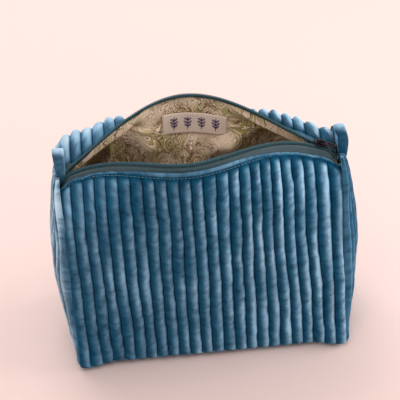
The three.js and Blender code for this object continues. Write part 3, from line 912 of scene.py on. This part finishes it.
def inner_end(side, sign, kind, depths, material, seed):
    """A plain inner layer of an end; the lining hangs a little loose."""
    share = np.linspace(-1, 1, 50)[:, None]
    low, high = 9.5 * MM, HEAD_AT_END - (4 * MM if kind == "lining" else 12 * MM)
    z = np.linspace(low, high, 60)[None] + 0 * share
    half = end_half_width(sign, z / HEAD_AT_END) - (END_LINING_MARGIN if kind == "lining" else 10 * MM)
    y = share * half
    loose = 0
    if kind == "lining":
        ridge = 1 - np.abs(noise((y + 0.3 * z) / (16 * MM), z / (40 * MM), seed))
        loose = np.clip((1 - np.abs(share)) * 4, 0, 1) * 5 * MM * ridge**2
    point = lambda d: np.stack([sign * (END_OUT - d - loose + end_bulge(sign, y, z)), y, z + 0 * y], -1)
    cloth = cloth_coordinates(y + 2 * sign, z + 0 * y)
    # Painted shade on the end linings: half dark throughout, darker towards the top.
    attributes = both_faces(cloth=cloth, fold=0.5 + 0.5 * smooth((z - high + 30 * MM) / (18 * MM)) + 0 * y)
    solid = slab(point(depths[0]), point(depths[1]))
    piece = mesh_object(f"{side}_gusset_{kind}_cloth", *solid, material, attributes)
    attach(piece, "base")
    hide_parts(f"{side}_gusset_{kind}")


for side, sign, draw in (("left", -1, 83), ("right", 1, 97)):
    velvet_end(side, sign, draw)
    inner_end(side, sign, "wadding", (4.7 * MM, 6.8 * MM), WADDING, draw)
    inner_end(side, sign, "lining", (7.8 * MM, 8.3 * MM), LINING, draw)


# ---- base
def base_slab(node, half_x, half_y, low, high, material, spread=0, ribbed=False, wavy=False):
    """A layer of the base. Its corners spread as far as the walls' bottom corners sag."""
    across = rib_columns(RIBS) * 2 / RIBS - 1
    along = np.linspace(-1, 1, 40)
    x = across[:, None] * half_x + 0 * along
    edge_y = half_y + spread * corner_share(x)
    y = along[None] * edge_y
    s = np.modf(rib_columns(RIBS))[0][:, None]
    rim = np.clip(np.minimum(half_x - np.abs(x), edge_y - np.abs(y)) / (3 * MM), 0, 1)
    rounding = (1 - np.sqrt(1 - (1 - rim) ** 2)) * (high - low) * 0.4
    under = low + rounding
    if ribbed:
        under = under + 1.2 * MM * (1 - puff(s))
    over = high - rounding
    if wavy:
        lift = 1.5 * MM * (1 + noise(x / (25 * MM), y / (20 * MM), 7)) * rim
        under, over = under + lift, over + lift
    solid = slab(np.stack([x, y, under], -1), np.stack([x, y, over + 0 * x], -1))
    cloth = cloth_coordinates(x + 5, y)
    crest = puff(s) + 0 * x
    # Painted light on the base: the velvet darker in its grooves and paler on its crests, and painted shade
    # over the base lining.
    attributes = both_faces(cloth=cloth, crest=crest, nap=0.5 * crest, fold=0 * crest + 0.7)
    piece = mesh_object(f"{node}_cloth", *solid, material, attributes)
    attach(piece, "base")
    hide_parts(node)
    return piece


panel = base_slab("base_panel", 114.8 * MM, 42.6 * MM, 0, 4 * MM, VELVET, 5.2 * MM, ribbed=True)
wadding = base_slab("base_wadding", 112 * MM, 41 * MM, 4.6 * MM, 6.8 * MM, WADDING)
lining = base_slab("base_lining", 111 * MM, 39 * MM, 7.4 * MM, 7.9 * MM, LINING, wavy=True)


# ---- grab tabs
def grab_tab(side, sign, seed):
    """A padded strip folded over at the top, pinched where its foot is sewn in."""
    low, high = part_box(f"{side}_tab")
    middle = (low + high) / 2
    half_width = (high.x - low.x) / 2
    layer, slit = 4 * MM, 0.5 * MM
    centre_reach = slit + layer / 2
    foot, fold_z = low.z - 2.5 * MM, high.z - layer - slit - 3 * MM
    straight = np.linspace(0, 1, 16)
    arc = np.linspace(0, np.pi, 12)[1:-1]
    across = [-centre_reach + 0 * straight, -centre_reach * np.cos(arc), centre_reach + 0 * straight]
    y = np.concatenate(across)
    climb = straight * (fold_z - foot)
    z = np.concatenate([foot + climb, fold_z + centre_reach * np.sin(arc), fold_z - climb])
    run = unit(np.stack([np.gradient(y), np.gradient(z)], -1))
    pinch = smooth((z - foot) / (11 * MM))
    thick = (0.34 + 0.66 * pinch) * layer / 2
    wide = half_width * (0.58 + 0.42 * np.clip((z - foot) / (34 * MM), 0, 1))
    y = y * (0.42 + 0.58 * pinch)
    turn = np.linspace(0, 2 * np.pi, 28, endpoint=False)
    corner = lambda v, p: np.sign(v) * np.abs(v) ** p
    side_way, out_way = corner(np.cos(turn), 0.55), corner(np.sin(turn), 0.75)
    bumps = 0.25 * MM * noise(z[:, None] / (6 * MM), 2 * side_way[None], seed)
    normal = np.stack([0 * z, -run[:, 1], run[:, 0]], -1)
    rise = (z - foot) / MM
    if side == "left":
        lean = 5.6 + 1.8 * smooth(rise / 12)
    else:
        lean = 3.0 - 0.9 * smooth(rise / 18) + 5.6 * smooth((rise - 20) / 25)
    lean = -sign * MM * lean
    centre = np.stack([middle.x + lean, y, z], -1)
    points = centre[:, None] + side_way[None, :, None] * wide[:, None, None] * np.array([1.0, 0, 0])
    points = points + (out_way[None] * thick[:, None] + bumps * np.abs(out_way))[..., None] * normal[:, None]
    faces = ring_faces(*points.shape[:2])
    length = np.concatenate([[0], np.cumsum(np.linalg.norm(np.diff(centre, axis=0), axis=1))])
    around, length = side_way[None] * half_width + 0 * length[:, None], length[:, None] + 0 * side_way[None]
    cloth = cloth_coordinates(around, length).reshape(-1, 3)
    crest = (0.55 + 0.4 * np.abs(out_way)[None] + 0 * length).reshape(-1)
    # Painted highlight on the tab: its folded top and one side edge are painted paler, and the left tab's
    # face paler than the right's.
    top_light = smooth((z - fold_z + 2 * MM) / (6 * MM))[:, None] + 0 * side_way[None]
    face_light = 0.5 if side == "left" else 0.25
    nap = (face_light + 1.1 * top_light + 0.5 * np.clip(side_way, 0, 1)[None] ** 6).reshape(-1)
    attributes = {"cloth": cloth, "crest": crest, "nap": nap}
    piece = mesh_object(f"{side}_tab_cloth", points.reshape(-1, 3), faces, VELVET, attributes)
    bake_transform(piece)
    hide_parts(f"{side}_tab")


grab_tab("left", -1, 131)
grab_tab("right", 1, 137)


# ---- label
def label_place(along, up):
    """Where a point of the label lies on the back wall: x, z, and how far it waves inwards."""
    x = along * math.cos(LABEL_TILT) - up * math.sin(LABEL_TILT)
    middle = zip_height(0) - LABEL_DROP - LABEL_SIZE[1] / 2
    z = middle + along * math.sin(LABEL_TILT) + up * math.cos(LABEL_TILT)
    return x, z, 0.25 * MM * noise(x / (9 * MM), z / (9 * MM), 211)


def woven_label():
    """A plain label on the back lining."""
    length, height = LABEL_SIZE
    left, right = np.linspace(-length / 2, SPLIT_X, 12), np.linspace(SPLIT_X, length / 2, 24)[1:]
    along, up = np.concatenate([left, right])[:, None], np.linspace(-0.5, 0.5, 14)[None] * height
    along, up = along + 0 * up, up + 0 * along
    x, z, wave = label_place(along, up)
    depth = LINING_DEPTH + (LABEL_OVER + wave)
    outer, inner = wall_point("back", x, z, depth), wall_point("back", x, z, depth + 0.45 * MM)
    cloth = cloth_coordinates(along, up)
    halves = wall_slab("label", "back", outer, inner, len(left) - 1, LABEL, {"cloth": cloth})


def sprig():
    """The strokes of a plain leafy sprig, in millimetres across and up."""
    strokes = [[(-0.4, -6), (0.2, -3), (0.1, 0), (-0.2, 3), (0.3, 6.2)]]
    for side in (-1, 1):
        for foot in (-3.5, -0.5, 2.5):
            reach = 3.6 - 0.25 * abs(foot)
            tip, back = (reach, foot + 2.5), (0.7 * reach, foot + 1.0)
            leaf = [(0, foot), (0.35 * reach, foot + 1.9), tip, back, (0, foot)]
            strokes.append([(side * a, b) for a, b in leaf])
    return strokes


def label_motif():
    """Plain sprigs in thread on the label; each stands on one half of the wall."""
    for half, centres in (("left", (-17.8,)), ("right", (-5.8, 6.2, 18.2))):
        paths = []
        for centre in centres:
            for stroke in sprig():
                t = np.linspace(0, len(stroke) - 1, 4 * len(stroke))
                along = (centre + np.interp(t, range(len(stroke)), [a for a, b in stroke])) * MM
                up = np.interp(t, range(len(stroke)), [b for a, b in stroke]) * MM
                x, z, wave = label_place(along, up)
                paths.append(wall_point("back", x, z, LINING_DEPTH + 3.5 * MM + wave) * WALLS["back"])
        piece = tubes(f"label_sprigs_{half}", paths, 0.33 * MM, MOTIF)
        hang(piece)


woven_label()
label_motif()


# ---- slider and pull
def bevelled(name, body, width):
    """A detailed metal piece with the CAD node's exact shape and soft edges."""
    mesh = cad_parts[name].data.copy()
    piece = add_object(f"{name}_metal", mesh)
    bm = bmesh.new()
    bm.from_mesh(mesh)
    bmesh.ops.remove_doubles(bm, verts=bm.verts, dist=1e-6)
    bmesh.ops.dissolve_limit(bm, angle_limit=math.radians(2), verts=bm.verts, edges=bm.edges)
    bm.to_mesh(mesh)
    bm.free()
    edge = piece.modifiers.new("edge", "BEVEL")
    edge.width, edge.segments = width, 3
    edge.limit_method, edge.angle_limit = "ANGLE", math.radians(35)
    mesh.materials.clear()
    mesh.materials.append(METAL)
    mesh.shade_smooth()
    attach(piece, body)
    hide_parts(name)


bevelled("slider", "slider", 0.35 * MM)
bevelled("pull", "pull", 0.3 * MM)


# ---- floor, light and camera
def stage():
    bpy.ops.mesh.primitive_plane_add(size=6, location=(0, 0, 0))
    floor = bpy.context.object
    floor.name = "floor"
    floor.data.materials.append(floor_material())
    floor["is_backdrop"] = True


def lamp(name, place, aim, size, power, colour):
    data = bpy.data.lights.new(name, "AREA")
    data.shape, data.size, data.energy, data.color = "DISK", size, power, colour
    piece = add_object(name, data)
    piece.location = place
    piece.rotation_euler = (Vector(aim) - Vector(place)).to_track_quat("-Z", "Y").to_euler()


def lights():
    world = bpy.data.worlds.new("studio")
    world.use_nodes = True
    background = world.node_tree.nodes["Background"]
    background.inputs[0].default_value = (1.0, 0.955, 0.94, 1)
    background.inputs[1].default_value = 0.72
    bpy.context.scene.world = world
    lamp("window", (-0.35, 1.2, 1.5), (0, 0, 0.1), 1.6, 14, (1.0, 0.97, 0.95))
    lamp("fill", (-0.2, -0.75, 1.7), (0, 0, 0.15), 1.0, 5, (1.0, 0.96, 0.94))
    lamp("side", (1.5, 0.0, 0.75), (0, 0, 0.1), 1.0, 12, (1.0, 0.98, 0.97))


def camera():
    azimuth, elevation, roll = math.radians(-2.46), math.radians(34.6), math.radians(-3.7)
    distance, lens = 1.008, 105
    aim = Vector((-1.6 * MM, 0, 133.5 * MM))
    level = math.cos(elevation)
    back = Vector((math.sin(azimuth) * level, -math.cos(azimuth) * level, math.sin(elevation)))
    data = bpy.data.cameras.new("camera")
    data.lens, data.sensor_width = lens, 36
    piece = add_object("camera", data)
    piece.location = aim + back * distance
    piece.rotation_mode = "QUATERNION"
    turn = Matrix.Rotation(roll, 4, "Z").to_quaternion()
    piece.rotation_quaternion = (-back).to_track_quat("-Z", "Y") @ turn
    bpy.context.scene.camera = piece


stage()
lights()
camera()
bpy.context.scene.view_settings.view_transform = "Standard"

bpy.context.view_layer.update()
{"cad": CAD_BOX, "visual": [list(corner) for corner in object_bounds()]}
